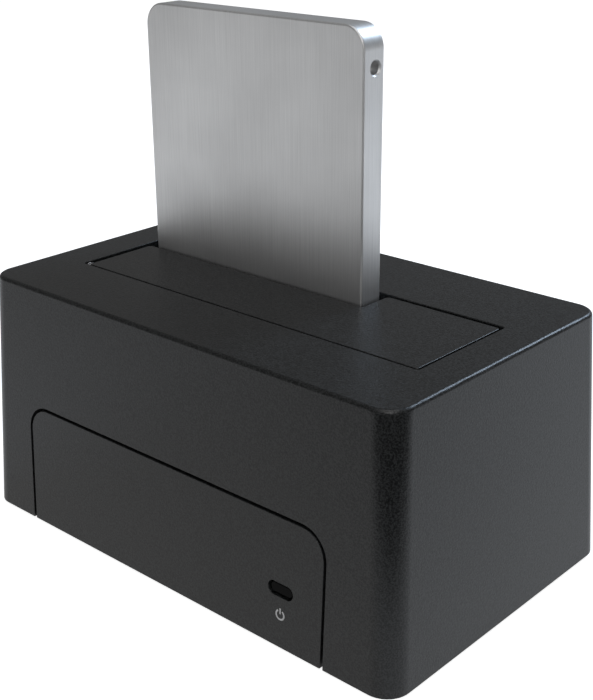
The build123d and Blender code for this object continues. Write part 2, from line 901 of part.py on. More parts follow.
def lid_screws():
    """Four flat head screws, flush with the drive's back."""
    made = []
    for x, z in cover_screw_places():
        seat = drive_back - cover_screw_head_height
        thread_end = drive_back - drive_cover - cover_screw_length + print_gap
        made.append(
            along_y(x, z, seat, drive_back, Circle(cover_screw_head / 2))
            + along_y(x, z, thread_end, seat, Circle(cover_screw_diameter / 2))
        )
    return made


def drive_plug():
    """The drive's plug: a root on the board, two end guides and two keyed blades."""
    left, right = plug_span()
    root_low = drive_bottom + plug_recess
    y_span = (drive_front + drive_skin + print_gap, drive_back - drive_cover - print_gap)
    plug = bar((left + print_gap, right - print_gap), y_span, (root_low, root_low + plug_root))
    for a, b in ((left + print_gap, left + plug_guide), (right - plug_guide, right - print_gap)):
        plug += bar((a, b), y_span, (drive_bottom, root_low))
    for blade in blades(0, root_low - tongue_reach, root_low):
        plug += blade
    return plug


def plug_contacts():
    """The gold strips on the front of the plug's blades."""
    face = blade_y - tongue_thickness / 2
    low = drive_bottom + plug_recess - tongue_reach
    return [
        bar((x - contact_width / 2, x + contact_width / 2), (face - contact_film, face),
            (low + contact_film, drive_bottom + plug_recess))
        for x in contact_places()
    ]


def drive_board():
    """The drive's short circuit board, seated on its plug."""
    low = drive_bottom + plug_recess + plug_root
    half = drive_board_thickness / 2
    span = (drive_left + drive_block + fit_gap, drive_right - drive_block - fit_gap)
    return bar(span, (blade_y - half, blade_y + half), (low, low + drive_board_length))


def drive_chips():
    """Four memory chips and their controller on the front of the drive's board."""
    back = blade_y - drive_board_thickness / 2
    front = back - drive_chip_height
    middle = (drive_left + drive_right) / 2
    low = drive_bottom + plug_recess + plug_root
    chips = []
    for column in (-1, 1):
        for row in range(drive_chip_rows):
            x = middle + column * drive_chip
            z = low + drive_board_length * (row + 1) / (drive_chip_rows + 1) + drive_chip / 2
            chips.append(along_y(x, z, front, back, Rectangle(memory_stack_width, drive_chip)))
    controller_z = low + drive_chip / 2 + fit_gap
    chips.append(along_y(middle, controller_z, front, back, Rectangle(drive_chip, drive_chip)))
    return chips


def usb_can():
    """The port's steel can, open to the back, with a closed inner end."""
    front = usb_face() - usb_depth
    can = along_y(usb_x, board_top, front, usb_face(), usb_outline(0))
    hollow = usb_outline(-usb_wall)
    return can - along_y(usb_x, board_top, front + usb_wall, usb_face() + cut_overrun, hollow)


def usb_tongue():
    """The plastic block in the port: a lower tongue and a thin upper one."""
    front = usb_face() - usb_depth + usb_wall
    block = along_y(usb_x, board_top, front, front + usb_block_depth, usb_outline(-usb_wall))
    end = usb_face() - usb_tongue_setback
    for low, thickness in usb_tongues():
        z = low + thickness / 2
        block += along_y(usb_x, z, front, end, Rectangle(usb_tongue_width, thickness))
    return block


def usb_tongues():
    """The lower and upper tongue of the port: where each starts, and its thickness."""
    low = board_top + (usb_low_height - usb_tongue_height) / 2
    high = board_top + usb_low_height + usb_top_height - usb_wall - usb_upper_gap - usb_upper_height
    return (low, usb_tongue_height), (high, usb_upper_height)


def usb_contacts():
    """The flat contacts: a pair on and under the lower tongue, five under the upper one."""
    (low, thickness), (high, _) = usb_tongues()
    rows = (
        (low + thickness, usb_contact_pitch, 2),
        (low - contact_thickness, usb_contact_pitch, 2),
        (high - contact_thickness, usb_tongue_width / 5, 5),
    )
    y_span = (usb_face() - usb_depth + usb_wall + usb_block_depth, usb_face() - usb_tongue_setback - usb_wall)
    made = []
    for z, pitch, count in rows:
        for i in range(count):
            x = usb_x + (i - (count - 1) / 2) * pitch
            x_span = (x - usb_contact_width / 2, x + usb_contact_width / 2)
            made.append(bar(x_span, y_span, (z, z + contact_thickness)))
    return made


def dc_jack():
    """The round power socket: a block on the board with a nose in the wall."""
    half = jack_width / 2
    block = bar((jack_x - half, jack_x + half), (jack_face() - jack_depth, jack_face()),
                (board_top, board_top + jack_height))
    z = board_top + jack_centre
    nose = Circle(jack_nose / 2)
    block += along_y(jack_x, z, jack_face() - jack_nose_reach, jack_face() + jack_nose_reach, nose)
    bore_front = jack_face() - jack_bore_depth
    return block - along_y(jack_x, z, bore_front, jack_face() + cut_overrun, Circle(jack_bore / 2))


def dc_pin():
    """The power socket's centre pin."""
    z = board_top + jack_centre
    pin = along_y(jack_x, z, jack_face() - jack_bore_depth, jack_face(), Circle(jack_pin / 2))
    return fillet(pin.faces().sort_by(Axis.Y)[-1].edges(), jack_pin / 4)


def low_chip(place, width, depth, height):
    """A flat chip on the board, its upper edges eased."""
    x, y = place
    chip = bar((x - width / 2, x + width / 2), (y - depth / 2, y + depth / 2),
               (board_top, board_top + height))
    return chamfer(chip.edges().group_by(Axis.Z)[-1], chip_corner / 4)


def crystal():
    """The clock crystal in its long metal can."""
    x, y = on_board(crystal_place_share)
    can = extrude(Pos(x, y, board_top) * SlotOverall(crystal_length, crystal_width), crystal_height)
    return fillet(can.edges().group_by(Axis.Z)[-1], chip_corner)


def power_coils():
    """The two coils of the power stages: square blocks with large corners."""
    made = []
    for share in coil_place_shares:
        x, y = on_board(share)
        half = coil_size / 2
        block = bar((x - half, x + half), (y - half, y + half),
                    (board_top, board_top + coil_height), coil_corner)
        made.append(fillet(block.edges().group_by(Axis.Z)[-1], chip_corner))
    return made


def power_cans():
    """The round electrolytic capacitors on their square bases."""
    made = []
    for share in can_place_shares:
        x, y = on_board(share)
        half = can_base / 2
        base = bar((x - half, x + half), (y - half, y + half),
                   (board_top, board_top + can_base_height), chip_corner)
        can = disc((x, y), board_top + can_base_height, board_top + can_height, can_diameter)
        made.append(base + fillet(can.edges().group_by(Axis.Z)[-1], chip_corner))
    return made


def write(name, shape):
    """Writes one node. A list becomes one node of separate solids."""
    if isinstance(shape, (list, ShapeList)):
        shape = Compound(children=list(shape))
    export_step(shape, f"parts/{name}.step")


os.makedirs("parts", exist_ok=True)
write("upper_housing", upper_housing())
write("front_panel", front_panel())
write("base_plate", base_plate())
write("base_screws", base_screws())
write("rubber_feet", rubber_feet())
write("drive_bay", drive_bay())
write("bay_screws", bay_screws())
write("flap", flap())
write("flap_pins", flap_pins())
write("flap_spring", flap_spring())
write("power_button", power_button())
write("switch_case", switch_case())
write("switch_plunger", switch_plunger())
write("status_led", status_led())
write("main_board", main_board())
write("board_screws", board_screws())
write("sata_socket", sata_socket())
write("sata_contacts", sata_contacts())
write("bridge_chip", low_chip(on_board(bridge_place_share), chip_size, chip_size, chip_height))
write("memory_chip", low_chip(on_board(memory_place_share), memory_length, memory_width, memory_height))
write("crystal", crystal())
write("power_coils", power_coils())
write("power_cans", power_cans())
write("usb_can", usb_can())
write("usb_tongue", usb_tongue())
write("usb_contacts", usb_contacts())
write("dc_jack", dc_jack())
write("dc_pin", dc_pin())
write("drive_case", drive_case())
write("drive_lid", drive_lid())
write("lid_screws", lid_screws())
write("drive_plug", drive_plug())
write("plug_contacts", plug_contacts())
write("drive_board", drive_board())
write("drive_chips", drive_chips())
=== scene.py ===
from math import cos, pi, radians, sin

import bmesh
import bpy
from mathutils import Matrix, Vector


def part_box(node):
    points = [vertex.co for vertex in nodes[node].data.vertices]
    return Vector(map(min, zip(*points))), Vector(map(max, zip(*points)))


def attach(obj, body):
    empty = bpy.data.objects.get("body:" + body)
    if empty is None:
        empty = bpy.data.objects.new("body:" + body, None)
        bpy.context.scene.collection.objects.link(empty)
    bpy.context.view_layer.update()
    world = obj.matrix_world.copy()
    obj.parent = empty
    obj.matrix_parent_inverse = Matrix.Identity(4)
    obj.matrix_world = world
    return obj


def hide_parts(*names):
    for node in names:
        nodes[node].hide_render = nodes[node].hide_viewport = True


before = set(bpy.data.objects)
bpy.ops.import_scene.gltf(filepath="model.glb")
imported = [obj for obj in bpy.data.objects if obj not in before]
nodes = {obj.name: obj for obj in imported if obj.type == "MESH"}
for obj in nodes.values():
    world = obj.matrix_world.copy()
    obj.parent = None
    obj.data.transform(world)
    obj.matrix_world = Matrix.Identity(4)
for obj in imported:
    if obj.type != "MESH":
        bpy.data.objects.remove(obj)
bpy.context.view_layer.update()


# Upper housing: the black box round everything, moulded in ABS with a fine spark-eroded
# grain on all its outside faces. Its walls lean, and its upper rim is gently rounded.

weld_distance, flat_angle, bevel_angle = 2e-6, radians(0.4), radians(40)


def new_object(name, bm):
    """Turns a bmesh into an object of the scene."""
    mesh = bpy.data.meshes.new(name)
    bm.to_mesh(mesh)
    bm.free()
    made = bpy.data.objects.new(name, mesh)
    bpy.context.scene.collection.objects.link(made)
    return made


def new_piece(name, bm, body):
    """Turns a bmesh into an object that rides on a body."""
    piece = new_object(name, bm)
    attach(piece, body)
    return piece


def smooth_copy(node, name, body, edge=0.0, crease=30):
    """A copy of a moulded or machined solid with joined faces, smooth fillets and broken edges."""
    bm = bmesh.new()
    bm.from_mesh(nodes[node].data)
    bmesh.ops.remove_doubles(bm, verts=bm.verts, dist=weld_distance)
    bmesh.ops.dissolve_limit(bm, angle_limit=flat_angle, verts=bm.verts, edges=bm.edges,
                             use_dissolve_boundaries=False)
    for face in bm.faces:
        face.smooth = True
    for line in bm.edges:
        line.smooth = line.calc_face_angle(0) < radians(crease)
    piece = new_piece(name, bm, body)
    if edge:
        bevel = piece.modifiers.new("broken_edges", "BEVEL")
        bevel.width = edge
        bevel.segments = 2
        bevel.limit_method = "ANGLE"
        bevel.angle_limit = bevel_angle
        bevel.harden_normals = True
        bevel.use_clamp_overlap = True
    normals = piece.modifiers.new("even_normals", "WEIGHTED_NORMAL")
    normals.keep_sharp = True
    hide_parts(node)
    return piece


def finish(name):
    """An empty material with its node tree and its Principled shader."""
    material = bpy.data.materials.new(name)
    material.use_nodes = True
    tree = material.node_tree
    return material, tree, tree.nodes["Principled BSDF"]


def put_on(piece, material):
    """Gives a piece one material in place of any that it has."""
    piece.data.materials.clear()
    piece.data.materials.append(material)


def wire(tree, source, output, target, socket):
    """Links an output of one node to an input of another."""
    tree.links.new(source.outputs[output], target.inputs[socket])


def noise(tree, source, output, scale=1.0, detail=2.0, roughness=0.5):
    """Noise on the coordinates that another node gives."""
    node = tree.nodes.new("ShaderNodeTexNoise")
    node.inputs["Scale"].default_value = scale
    node.inputs["Detail"].default_value = detail
    node.inputs["Roughness"].default_value = roughness
    wire(tree, source, output, node, "Vector")
    return node


def arithmetic(tree, operation, second=None):
    """A node that adds or multiplies, with its second value set if it isn't wired."""
    node = tree.nodes.new("ShaderNodeMath")
    node.operation = operation
    if second is not None:
        node.inputs[1].default_value = second
    return node


def remap(tree, source, output, before, after):
    """Stretches one range of values to another."""
    node = tree.nodes.new("ShaderNodeMapRange")
    node.inputs["From Min"].default_value, node.inputs["From Max"].default_value = before
    node.inputs["To Min"].default_value, node.inputs["To Max"].default_value = after
    wire(tree, source, output, node, "Value")
    return node


def new_group(name, inputs, outputs):
    """An empty shared effect with named inputs and outputs."""
    group = bpy.data.node_groups.new(name, "ShaderNodeTree")
    for socket, kind, value in inputs:
        made = group.interface.new_socket(socket, in_out="INPUT", socket_type=kind)
        made.default_value = value
    for socket, kind in outputs:
        group.interface.new_socket(socket, in_out="OUTPUT", socket_type=kind)
    return group, group.nodes.new("NodeGroupInput"), group.nodes.new("NodeGroupOutput")


def dress(tree, shader, group, strength, depth, **values):
    """Places a shared effect in a material: its colour, its gloss, and its height as a bump."""
    node = tree.nodes.new("ShaderNodeGroup")
    node.node_tree = group
    for key, value in values.items():
        node.inputs[key].default_value = value
    bump = tree.nodes.new("ShaderNodeBump")
    bump.inputs["Strength"].default_value = strength
    bump.inputs["Distance"].default_value = depth
    wire(tree, node, "Height", bump, "Height")
    wire(tree, bump, "Normal", shader, "Normal")
    wire(tree, node, "Colour", shader, "Base Color")
    wire(tree, node, "Roughness", shader, "Roughness")


def grain_group():
    """Moulded grain: a fine pebbled height, and small specks of colour and gloss."""
    number, colour = "NodeSocketFloat", "NodeSocketColor"
    group, inside, out = new_group(
        "moulded_grain",
        [("Colour", colour, (0.03, 0.03, 0.03, 1)), ("Pale", colour, (0.04, 0.04, 0.04, 1)),
         ("Grain", number, 2600.0), ("Roughness", number, 0.5), ("Spread", number, 0.08),
         ("Speckle", number, 0.0)],
        [("Colour", colour), ("Roughness", number), ("Height", number)],
    )
    place = group.nodes.new("ShaderNodeTexCoord")
    fine = noise(group, place, "Object", detail=3.0, roughness=0.6)
    wire(group, inside, "Grain", fine, "Scale")
    coarser = arithmetic(group, "MULTIPLY", 0.6)
    wire(group, inside, "Grain", coarser, 0)
    pebble = group.nodes.new("ShaderNodeTexVoronoi")
    wire(group, place, "Object", pebble, "Vector")
    wire(group, coarser, 0, pebble, "Scale")
    height = arithmetic(group, "ADD")
    wire(group, fine, "Fac", height, 0)
    wire(group, pebble, "Distance", height, 1)
    wire(group, height, 0, out, "Height")

    speck = noise(group, place, "Object", 2500.0, detail=5.0)
    both = arithmetic(group, "MULTIPLY")
    wire(group, speck, "Fac", both, 0)
    wire(group, fine, "Fac", both, 1)
    share = remap(group, both, 0, (0.2, 0.3), (0, 1))
    mix = group.nodes.new("ShaderNodeMix")
    mix.data_type = "RGBA"
    wire(group, share, "Result", mix, "Factor")
    colour_in = [s for s in mix.inputs if s.type == "RGBA"]
    group.links.new(inside.outputs["Colour"], colour_in[0])
    group.links.new(inside.outputs["Pale"], colour_in[1])
    colour_out = [s for s in mix.outputs if s.type == "RGBA"][0]
    group.links.new(colour_out, out.inputs["Colour"])

    gloss = arithmetic(group, "MULTIPLY_ADD")
    wire(group, speck, "Fac", gloss, 0)
    wire(group, inside, "Spread", gloss, 1)
    wire(group, inside, "Roughness", gloss, 2)
    finer_gloss = arithmetic(group, "MULTIPLY_ADD")
    wire(group, fine, "Fac", finer_gloss, 0)
    wire(group, inside, "Speckle", finer_gloss, 1)
    wire(group, gloss, 0, finer_gloss, 2)
    wire(group, finer_gloss, 0, out, "Roughness")
    return group


moulded_grain = grain_group()


def moulded(name, colour, pale, grain, roughness, depth, spread=0.1, specular=0.4, speckle=0.0):
    """A moulded plastic or rubber with the shared grain."""
    material, tree, shader = finish(name)
    dress(tree, shader, moulded_grain, 0.6, depth, Colour=(*colour, 1), Pale=(*pale, 1),
          Grain=grain, Roughness=roughness, Spread=spread, Speckle=speckle)
    shader.inputs["Specular IOR Level"].default_value = specular
    return material


black_abs = moulded("black_grained_abs", (0.0005, 0.0008, 0.001), (0.024, 0.0252, 0.0256),
                    grain=3000.0, roughness=0.26, depth=0.00004, spread=0.06, speckle=0.12)
housing = smooth_copy("upper_housing", "upper_housing_shell", "station",
                      edge=0.00012)
put_on(housing, black_abs)


# Front panel: the arch-shaped insert, moulded apart in the same grained ABS and snapped in
# from behind, which leaves the even dark seam round it.

panel_abs = moulded("black_panel_abs", (0.0005, 0.0008, 0.0009), (0.0238, 0.0251, 0.0254),
                    grain=3100.0, roughness=0.26, depth=0.00004, spread=0.06, speckle=0.12)
panel = smooth_copy("front_panel", "front_panel_insert", "station", edge=0.00012)
put_on(panel, panel_abs)

# Power mark: the small ring and bar printed in pale grey ink under the button. It lies on
# the leaning face of the panel.

wall_spread, wall_height, top_at, half_depth = 0.0033, 0.063, 0.0642, 0.03865
mark_x, mark_z, ring_radius, stroke, ink = 0.0367, 0.00935, 0.00112, 0.00042, 0.00002
ring_steps = 40
bar_length, bar_middle = 1.25 * ring_radius, 0.8 * ring_radius


def panel_face(z):
    """The panel's outer face at a height."""
    return -half_depth - wall_spread * (top_at - z) / wall_height


def speckled(tree, shader, scale, dark, pale, detail=2.0):
    """A base colour that runs from dark to pale by noise. Returns the noise."""
    place = tree.nodes.new("ShaderNodeTexCoord")
    speck = noise(tree, place, "Object", scale, detail)
    ramp = tree.nodes.new("ShaderNodeValToRGB")
    ramp.color_ramp.elements[0].color = (*dark, 1)
    ramp.color_ramp.elements[1].color = (*pale, 1)
    wire(tree, speck, "Fac", ramp, "Fac")
    wire(tree, ramp, "Color", shader, "Base Color")
    return speck


bm = bmesh.new()
opening_angle = radians(62)
arm = (sin(opening_angle / 2), cos(opening_angle / 2))
radii = (ring_radius - stroke / 2, ring_radius + stroke / 2)
ends = [bm.verts.new((r * arm[0], 0, r * arm[1])) for r in radii]
first = bm.edges.new(ends)
bmesh.ops.spin(bm, geom=[*ends, first], cent=(0, 0, 0), axis=(0, 1, 0), angle=2 * pi - opening_angle,
               steps=ring_steps, use_merge=False, use_duplicate=False)
bar = bmesh.ops.create_grid(bm, x_segments=1, y_segments=1, size=0.5)["verts"]
bmesh.ops.rotate(bm, verts=bar, cent=(0, 0, 0), matrix=Matrix.Rotation(pi / 2, 3, "X"))
bmesh.ops.scale(bm, verts=bar, vec=(stroke, 1, bar_length))
bmesh.ops.translate(bm, verts=bar, vec=(0, 0, bar_middle))
bmesh.ops.recalc_face_normals(bm, faces=bm.faces)
raised = bmesh.ops.extrude_face_region(bm, geom=list(bm.faces))
top_verts = [v for v in raised["geom"] if isinstance(v, bmesh.types.BMVert)]
bmesh.ops.translate(bm, verts=top_verts, vec=(0, -ink, 0))
bmesh.ops.translate(bm, verts=bm.verts, vec=(mark_x, 0, mark_z))
for vert in bm.verts:
    vert.co.y += panel_face(vert.co.z)
bmesh.ops.recalc_face_normals(bm, faces=bm.faces)
mark = new_piece("power_mark", bm, "station")
mark_ink, tree, shader = finish("pale_grey_ink")
speckled(tree, shader, 9000.0, (0.72, 0.72, 0.73), (0.9, 0.9, 0.91))
shader.inputs["Roughness"].default_value = 0.5
put_on(mark, mark_ink)


# Power button: the small polished pill in the panel. It is moulded without grain, so it is
# glossier than what is round it.

polished, tree, shader = finish("polished_black_plastic")
haze = speckled(tree, shader, 700.0, (0.001, 0.001, 0.0012), (0.003, 0.003, 0.0032), detail=4.0)
gloss = remap(tree, haze, "Fac", (0, 1), (0.1, 0.2))
wire(tree, gloss, "Result", shader, "Roughness")
shader.inputs["Specular IOR Level"].default_value = 0.05
button = smooth_copy("power_button", "power_button_cap", "button")
put_on(button, polished)


# Flap: the L-shaped lid over the slot, in the same grained ABS. It swings down on two dark
# steel pins when a drive is pushed in, and a small torsion spring lifts it again.

flap_abs = moulded("black_flap_abs", (0.0006, 0.0008, 0.0009), (0.0242, 0.025, 0.0254),
                   grain=3000.0, roughness=0.26, depth=0.00004, spread=0.06, speckle=0.12)
flap = smooth_copy("flap", "slot_flap", "flap", edge=0.0001)
put_on(flap, flap_abs)


def line_noise(group, place, stretch, detail=2.0, roughness=0.5):
    """Noise drawn out to fine lines along the axis that has the smallest stretch."""
    drawn_out = group.nodes.new("ShaderNodeMapping")
    drawn_out.inputs["Scale"].default_value = stretch
    wire(group, place, "Object", drawn_out, "Vector")
    return noise(group, drawn_out, "Vector", detail=detail, roughness=roughness)


def metal_outputs(group, inside, out, dim, uneven, extra_roughness):
    """A metal's colour times a dimming, and its roughness plus an uneven share."""
    scale = group.nodes.new("ShaderNodeVectorMath")
    scale.operation = "SCALE"
    wire(group, inside, "Colour", scale, 0)
    wire(group, dim, "Result", scale, "Scale")
    wire(group, scale, "Vector", out, "Colour")
    gloss = arithmetic(group, "MULTIPLY_ADD", extra_roughness)
    wire(group, uneven, "Fac", gloss, 0)
    wire(group, inside, "Roughness", gloss, 2)
    wire(group, gloss, 0, out, "Roughness")


def metal_group(name):
    """An empty shared effect for a metal, with its coordinates."""
    number, colour = "NodeSocketFloat", "NodeSocketColor"
    group, inside, out = new_group(
        name,
        [("Colour", colour, (0.5, 0.5, 0.5, 1)), ("Roughness", number, 0.3)],
        [("Colour", colour), ("Roughness", number), ("Height", number)],
    )
    return group, inside, out, group.nodes.new("ShaderNodeTexCoord")


def steel_group():
    """Drawn or plated metal: fine lines along X and faint stains."""
    group, inside, out, place = metal_group("plated_steel")
    line = line_noise(group, place, (300.0, 9000.0, 9000.0))
    wire(group, line, "Fac", out, "Height")
    stain = noise(group, place, "Object", 600.0)
    dim = remap(group, stain, "Fac", (0, 1), (0.78, 1.08))
    metal_outputs(group, inside, out, dim, stain, 0.2)
    return group


plated_steel = steel_group()


def metal(name, colour, roughness, effect=plated_steel, strength=0.35, depth=0.000005):
    """A metal with one of the shared effects."""
    material, tree, shader = finish(name)
    dress(tree, shader, effect, strength, depth, Colour=(*colour, 1), Roughness=roughness)
    shader.inputs["Metallic"].default_value = 1.0
    return material


bright_steel = metal("bright_plated_steel", (0.55, 0.55, 0.56), 0.22)
spring_wire = metal("drawn_spring_wire", (0.48, 0.48, 0.5), 0.25)
# The hinge pins are near black, much darker than the other steel.
pin_steel = metal("near_black_pin_steel", (0.03, 0.03, 0.032), 0.45)
put_on(smooth_copy("flap_pins", "hinge_pins", "flap"), pin_steel)
put_on(smooth_copy("flap_spring", "return_spring", "flap", crease=50), spring_wire)


# Drive bay: the well under the slot, with guide ribs at its back. It is moulded in a plainer,
# darker black and screwed up against the shell by four ears.

bay_black = moulded("matte_black_bay", (0.014, 0.014, 0.015), (0.02, 0.02, 0.021),
                    grain=1800.0, roughness=0.55, depth=0.00003)
put_on(smooth_copy("drive_bay", "drive_well", "station", edge=0.0001), bay_black)
put_on(nodes["bay_screws"], bright_steel)


# Base plate, its screws and feet: a flat black moulding with vents that closes the shell. The
# four black screws sit in counterbores, each with a cross recess, and the feet are soft rubber.

base_black = moulded("black_base_abs", (0.02, 0.02, 0.021), (0.028, 0.028, 0.029),
                     grain=2000.0, roughness=0.5, depth=0.00005, spread=0.12)
put_on(smooth_copy("base_plate", "base_tray", "station", edge=0.0001), base_black)
black_zinc = metal("black_zinc_steel", (0.1, 0.1, 0.105), 0.34)
put_on(smooth_copy("base_screws", "base_screw_set", "station"), black_zinc)

rubber = moulded("soft_black_rubber", (0.018, 0.018, 0.018), (0.028, 0.028, 0.028),
                 grain=1500.0, roughness=0.78, depth=0.00003, specular=0.25)
put_on(smooth_copy("rubber_feet", "foot_pads", "station"), rubber)

# Painted shade: the screws' cross recesses are drawn as thin near-black plus signs on their heads,
# not cut in.
recess_shadow, tree, shader = finish("recess_shadow")
speckled(tree, shader, 4000.0, (0.003, 0.003, 0.003), (0.012, 0.012, 0.012))
shader.inputs["Roughness"].default_value = 0.7
recess_turn, recess_height, recess_bevel, recess_sunk = 0.4, 0.00004, 0.000015, 0.00001


def cross_recesses(name, centres, turn, span, arm_width, body):
    """The cross recesses of a group of screws, each a low, tapered plus sign on its head in near
    black, a painted shade for the recess's depth.
    """
    bm = bmesh.new()
    for centre in centres:
        for quarter in (0, pi / 2):
            arm = bmesh.ops.create_cube(bm, size=1)["verts"]
            bmesh.ops.scale(bm, verts=arm, vec=(span, arm_width, recess_height))
            bmesh.ops.rotate(bm, verts=arm, cent=(0, 0, 0),
                             matrix=Matrix.Rotation(quarter + recess_turn, 3, "Z"))
            bmesh.ops.rotate(bm, verts=arm, cent=(0, 0, 0), matrix=turn)
            bmesh.ops.translate(bm, verts=arm, vec=centre)
    bmesh.ops.bevel(bm, geom=list(bm.edges), offset=recess_bevel, offset_type="OFFSET", segments=1,
                    profile=0.5, affect="EDGES", material=-1, clamp_overlap=True)
    put_on(new_piece(name, bm, body), recess_shadow)


low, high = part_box("base_screws")
head_radius = 0.0025
screw_places = [(x, y, low[2] + recess_sunk) for x in (low[0] + head_radius, high[0] - head_radius)
                for y in (low[1] + head_radius, high[1] - head_radius)]
cross_recesses("base_screw_recesses", screw_places, Matrix.Identity(3), span=0.0026,
               arm_width=0.0006, body="station")


# Main board: green laminate with solder mask and copper lines, held by four screws. The chips,
# coils, capacitors, crystal and lamp are soldered to it.

def board_material(name, colour, line_colour):
    """Solder mask over a pattern of copper lines."""
    material, tree, shader = finish(name)
    place = tree.nodes.new("ShaderNodeTexCoord")
    lines = tree.nodes.new("ShaderNodeTexBrick")
    lines.inputs["Scale"].default_value = 160.0
    lines.inputs["Mortar Size"].default_value = 0.03
    lines.inputs["Color1"].default_value = (*colour, 1)
    lines.inputs["Color2"].default_value = (*[c * 0.85 for c in colour], 1)
    lines.inputs["Mortar"].default_value = (*line_colour, 1)
    wire(tree, place, "Object", lines, "Vector")
    wire(tree, lines, "Color", shader, "Base Color")
    bump = tree.nodes.new("ShaderNodeBump")
    bump.inputs["Distance"].default_value = 0.00003
    wire(tree, lines, "Fac", bump, "Height")
    wire(tree, bump, "Normal", shader, "Normal")
    shader.inputs["Roughness"].default_value = 0.32
    return material


mask_green = board_material("green_solder_mask", (0.008, 0.075, 0.03), (0.02, 0.13, 0.06))
put_on(nodes["main_board"], mask_green)
put_on(nodes["board_screws"], bright_steel)
epoxy = moulded("moulded_epoxy", (0.012, 0.012, 0.013), (0.02, 0.02, 0.021),
                grain=5000.0, roughness=0.5, depth=0.00001)
put_on(nodes["bridge_chip"], epoxy)
put_on(nodes["memory_chip"], epoxy)
ferrite = moulded("grey_ferrite", (0.035, 0.035, 0.038), (0.06, 0.06, 0.062),
                  grain=3500.0, roughness=0.6, depth=0.00002)
put_on(nodes["power_coils"], ferrite)
can_metal = metal("drawn_can", (0.62, 0.62, 0.64), 0.24)
put_on(smooth_copy("power_cans", "capacitor_cans", "station"), can_metal)
put_on(smooth_copy("crystal", "crystal_can", "station"), can_metal)
lamp_epoxy, tree, shader = finish("clear_lamp_epoxy")
speckled(tree, shader, 2500.0, (0.55, 0.6, 0.7), (0.75, 0.8, 0.9))
shader.inputs["Roughness"].default_value = 0.2
put_on(nodes["status_led"], lamp_epoxy)


# Switch: a push switch in a black nylon case under the board's edge, with a natural nylon
# plunger that the button's stem meets.

nylon_black = moulded("black_nylon", (0.012, 0.012, 0.012), (0.02, 0.02, 0.02),
                      grain=3000.0, roughness=0.42, depth=0.00002)
nylon_pale = moulded("natural_nylon", (0.5, 0.5, 0.47), (0.6, 0.6, 0.57),
                     grain=3000.0, roughness=0.45, depth=0.00001)
put_on(nodes["switch_case"], nylon_black)
put_on(smooth_copy("switch_plunger", "switch_plunger_rod", "button"), nylon_pale)


# Drive socket: the tall black socket on the board, with a gilt spring strip for each contact
# of the drive's plug.

gilt = metal("thin_gold_plate", (0.72, 0.5, 0.2), 0.2)
socket = smooth_copy("sata_socket", "drive_socket", "station", edge=0.00005)
put_on(socket, nylon_black)
put_on(nodes["sata_contacts"], gilt)


# Ports at the back: a square data port in a nickel-plated can with a blue tongue, and a round
# power socket with its centre pin.

nickel = metal("nickel_plated_can", (0.6, 0.59, 0.57), 0.24)
blue_nylon = moulded("blue_port_nylon", (0.01, 0.05, 0.3), (0.015, 0.07, 0.38),
                     grain=3000.0, roughness=0.4, depth=0.00002)
put_on(smooth_copy("usb_can", "data_port_can", "station", edge=0.00006), nickel)
put_on(nodes["usb_tongue"], blue_nylon)
put_on(nodes["usb_contacts"], gilt)
jack = smooth_copy("dc_jack", "power_socket", "station", edge=0.0001)
put_on(jack, nylon_black)
put_on(smooth_copy("dc_pin", "power_socket_pin", "station"), nickel)


# Drive: a slim 2.5 inch drive in a satin aluminium case. Its faces are finely brushed along
# its length, its edges are rounded, and its side has a countersunk threaded hole.

def brushed_group():
    """Brushed aluminium: long fine lines along Z, with faint clouds."""
    group, inside, out, place = metal_group("brushed_along_z")
    line = line_noise(group, place, (3400.0, 3400.0, 45.0), detail=4.0, roughness=0.65)
    wire(group, line, "Fac", out, "Height")
    cloud = noise(group, place, "Object", 40.0, detail=3.0)
    both = arithmetic(group, "ADD")
    wire(group, line, "Fac", both, 0)
    wire(group, cloud, "Fac", both, 1)
    dim = remap(group, both, 0, (0.6, 1.4), (0.86, 1.14))
    metal_outputs(group, inside, out, dim, line, 0.12)
    return group


satin = metal("satin_brushed_aluminium", (0.73, 0.73, 0.73), 0.38, effect=brushed_group(),
              strength=0.25, depth=0.00001)
put_on(smooth_copy("drive_case", "drive_tray", "drive", edge=0.0001), satin)
put_on(smooth_copy("drive_lid", "drive_back_plate", "drive"), satin)
put_on(smooth_copy("lid_screws", "lid_screw_set", "drive"), black_zinc)
low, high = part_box("lid_screws")
head_radius = 0.0014
upper_inset = 0.0016
lid_places = []
for index, z in enumerate((low[2] + head_radius, high[2] - head_radius)):
    inset = head_radius + index * upper_inset
    for x in (low[0] + inset, high[0] - inset):
        lid_places.append((x, high[1] - recess_sunk, z))
cross_recesses("lid_screw_recesses", lid_places, Matrix.Rotation(pi / 2, 3, "X"), span=0.0016,
               arm_width=0.0004, body="drive")

# Drive's inner pieces: the black nylon plug in its lower edge, with gilt strips, and the short
# green board with moulded chips between the case and its back plate.

put_on(smooth_copy("drive_plug", "drive_plug_body", "drive"), nylon_black)
put_on(nodes["plug_contacts"], gilt)
put_on(nodes["drive_board"], mask_green)
put_on(nodes["drive_chips"], epoxy)


# Studio: a pale floor that keeps the shadow and a plain surround. Both are white to the camera and
# dimmer in what shiny faces mirror. The floor's glow holds a painted shade near the part.

def background_light(tree, glow):
    """A background's brightness: full to the camera, and glow times that in shiny faces."""
    path = tree.nodes.new("ShaderNodeLightPath")
    direct = arithmetic(tree, "ADD")
    wire(tree, path, "Is Camera Ray", direct, 0)
    wire(tree, path, "Is Transmission Ray", direct, 1)
    mirrored = arithmetic(tree, "MULTIPLY_ADD", glow)
    wire(tree, path, "Is Glossy Ray", mirrored, 0)
    wire(tree, direct, 0, mirrored, 2)
    return mirrored


